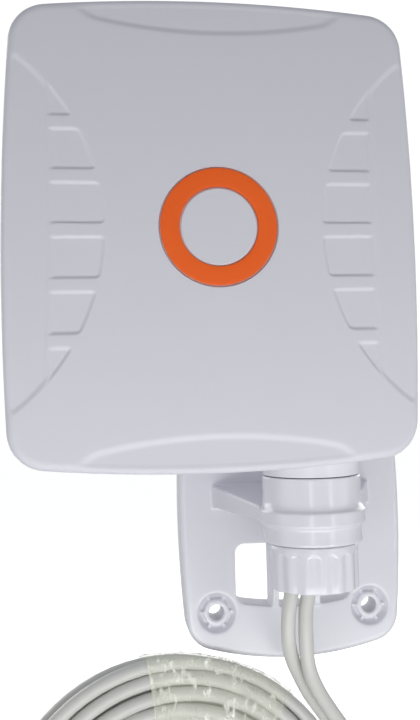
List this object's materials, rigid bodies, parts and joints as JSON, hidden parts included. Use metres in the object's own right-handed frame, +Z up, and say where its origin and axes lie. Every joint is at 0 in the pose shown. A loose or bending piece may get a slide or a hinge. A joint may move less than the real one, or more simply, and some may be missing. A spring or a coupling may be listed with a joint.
{
  "type": "panel antenna",
  "caption": "Flat two-port panel antenna on a swivelling wall bracket, with a ring clamp nut and two white coaxial cables wound in one coil.",
  "frame": {"origin": "centre of the wall plate's flat back face", "axes": "+Z up; the wall is the plane y = 0, the antenna faces -Y, and +X is to the right as the front is seen"},
  "size_m": [0.1674, 0.0843, 0.4338],
  "materials": {
    "cover_white": "fine moulded texture, white with a faint lavender tint",
    "bracket_white": "smooth moulded, satin",
    "accent_orange": "satin orange inlay",
    "cable_white": "smooth PVC jacket, white",
    "film_clear": "crinkled clear film with a yellow-green tint",
    "rubber_grey": "plain moulded rubber",
    "aluminium": "plain sheet",
    "board_green": "solder mask",
    "brass_plate": "plain sheet",
    "nylon_white": "plain moulded nylon",
    "steel": "zinc plated",
    "gold_plated": "gold plated brass",
    "boot_black": "heat-shrunk sleeve"
  },
  "bodies": {
    "bracket": {"wall_bracket": "bracket_white", "gland_bush": "rubber_grey", "cable_left_lead": "cable_white", "cable_right_lead": "cable_white", "cable_coil": "cable_white", "coil_wrap": "film_clear", "cable_left_tail": "cable_white", "cable_right_tail": "cable_white", "boot_left": "boot_black", "boot_right": "boot_black", "connector_left": "gold_plated", "connector_right": "gold_plated"},
    "washer": {"clamp_washer": "bracket_white"},
    "nut": {"clamp_nut": "bracket_white"},
    "panel": {"front_cover": "cover_white", "rear_cover": "cover_white", "cover_seal": "rubber_grey", "accent_ring": "accent_orange", "feed_board": "board_green", "reflector_plate": "aluminium", "radiator_a": "brass_plate", "radiator_b": "brass_plate", "radiator_post_a": "nylon_white", "radiator_post_b": "nylon_white", "swivel_neck": "bracket_white", "neck_seal": "rubber_grey", "cable_clamp": "nylon_white", "clamp_screw_1": "steel", "clamp_screw_2": "steel", "inner_lead_left": "cable_white", "inner_lead_right": "cable_white", "case_screw_1": "steel", "case_screw_2": "steel", "case_screw_3": "steel", "case_screw_4": "steel", "case_screw_5": "steel", "case_screw_6": "steel", "board_screw_1": "steel", "board_screw_2": "steel", "board_screw_3": "steel", "board_screw_4": "steel", "standoff_1": "nylon_white", "standoff_2": "nylon_white", "standoff_3": "nylon_white", "standoff_4": "nylon_white"},
    "connector_nut_left": {"coupling_nut_left": "gold_plated"},
    "connector_nut_right": {"coupling_nut_right": "gold_plated"}
  },
  "joints": [
    {"name": "panel_swivel", "type": "hinge", "parent": "bracket", "child": "panel", "pos_m": [0, -0.055, 0], "axis": [0, 0, 1], "range_deg": [-24, 90]},
    {"name": "washer_drop", "type": "slide", "parent": "bracket", "child": "washer", "axis": [0, 0, -1], "range_m": [0, 0.003]},
    {"name": "clamp_nut_turn", "type": "hinge", "parent": "washer", "child": "nut", "pos_m": [0, -0.055, -0.018], "axis": [0, 0, -1], "range_deg": [0, 360]},
    {"name": "connector_left_turn", "type": "hinge", "parent": "bracket", "child": "connector_nut_left", "pos_m": [0.0165, -0.0094, -0.232], "axis": [0, 0, 1], "continuous": true},
    {"name": "connector_right_turn", "type": "hinge", "parent": "bracket", "child": "connector_nut_right", "pos_m": [0.0165, -0.0214, -0.24], "axis": [0, 0, 1], "continuous": true}
  ],
  "couplings": [
    {"joint": "washer_drop", "follows": "clamp_nut_turn", "m_per_rad": 0.00047746}
  ]
}
